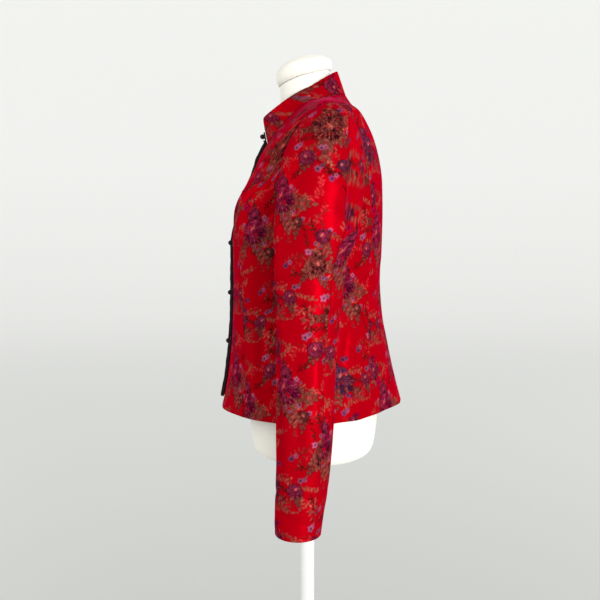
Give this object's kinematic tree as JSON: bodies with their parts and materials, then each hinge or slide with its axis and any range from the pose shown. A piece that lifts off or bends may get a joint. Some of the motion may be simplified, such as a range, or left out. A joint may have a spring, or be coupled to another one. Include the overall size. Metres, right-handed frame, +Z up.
{
  "type": "tang jacket on a limbless dress form",
  "caption": "Fitted flowered brocade jacket with a stand-up collar, dark knot-buttoned front band and long sleeves, worn by a limbless dress form on a round-based stand.",
  "frame": {"origin": "middle of the stand's round foot, on the floor", "axes": "+Z up, the jacket's front faces -Y, the wearer's left is +X"},
  "size_m": [0.586, 0.352, 1.4275],
  "materials": {
    "brocade": "soft sheen, woven flowers",
    "dark_trim": "matt, velvet-like",
    "form_cover": "matt knitted cover",
    "stand": "satin"
  },
  "bodies": {
    "root": {"front_left": "brocade", "front_right": "brocade", "side_front_left": "brocade", "side_front_right": "brocade", "side_back_left": "brocade", "side_back_right": "brocade", "back_left": "brocade", "back_right": "brocade", "top_sleeve_left": "brocade", "top_sleeve_right": "brocade", "under_sleeve_left": "brocade", "under_sleeve_right": "brocade", "collar": "brocade", "front_band": "dark_trim", "knot_1": "dark_trim", "knot_2": "dark_trim", "knot_3": "dark_trim", "knot_4": "dark_trim", "knot_5": "dark_trim", "loop_1": "dark_trim", "loop_2": "dark_trim", "loop_3": "dark_trim", "loop_4": "dark_trim", "loop_5": "dark_trim", "form_torso": "form_cover", "neck_cap": "form_cover", "pole_flange": "stand", "pole": "stand", "pole_foot": "stand", "base": "stand"}
  },
  "joints": []
}
